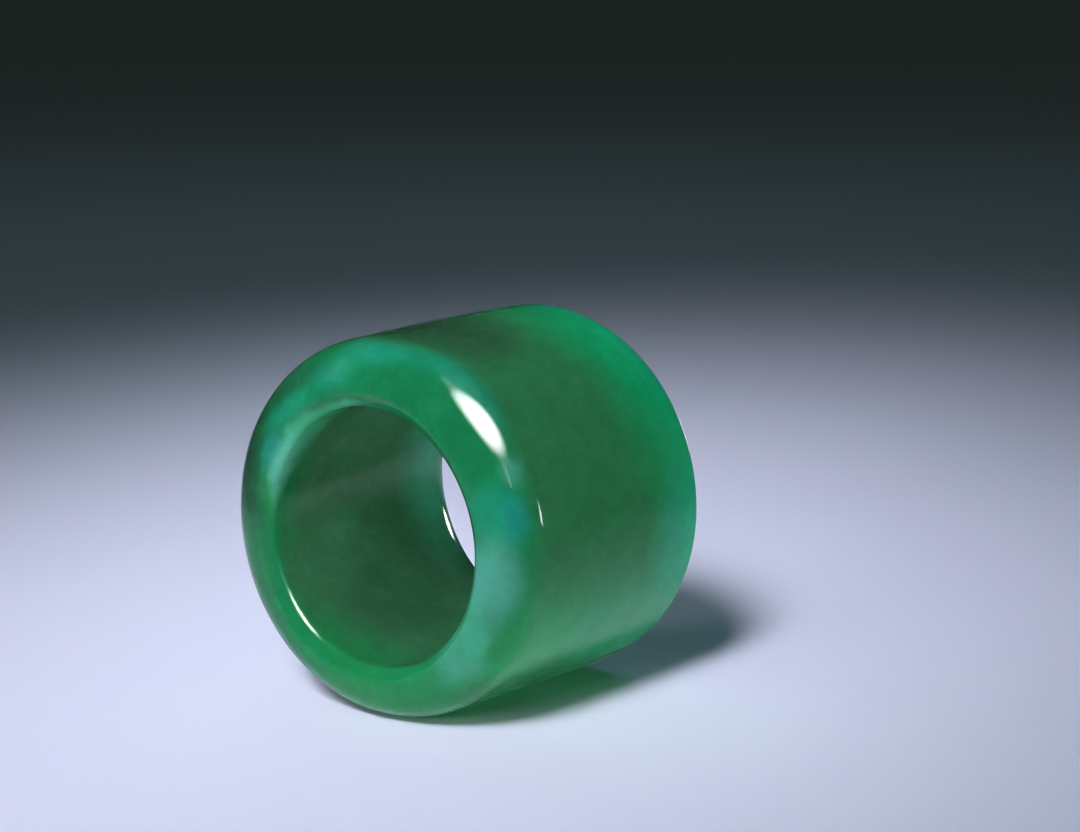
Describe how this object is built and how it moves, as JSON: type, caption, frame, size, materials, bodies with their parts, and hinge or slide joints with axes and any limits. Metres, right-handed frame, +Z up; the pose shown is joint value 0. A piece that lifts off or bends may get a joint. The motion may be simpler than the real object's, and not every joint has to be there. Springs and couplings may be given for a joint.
{
  "type": "jade thumb ring",
  "caption": "Wide archer's thumb ring of polished green jadeite, lying on its side: one end domed, the other flat, with a round bore and a flared mouth.",
  "frame": {"origin": "centre of the underside of the ring's box: on the resting surface, midway along the ring and straight below its axis", "axes": "+Z up from the resting surface, the bore's axis along Y with the domed end towards -Y and the flat end towards +Y, +X across the ring"},
  "size_m": [0.031, 0.024, 0.0308],
  "materials": {
    "jade": "polished"
  },
  "bodies": {
    "root": {"thumb_ring": "jade"}
  },
  "joints": []
}
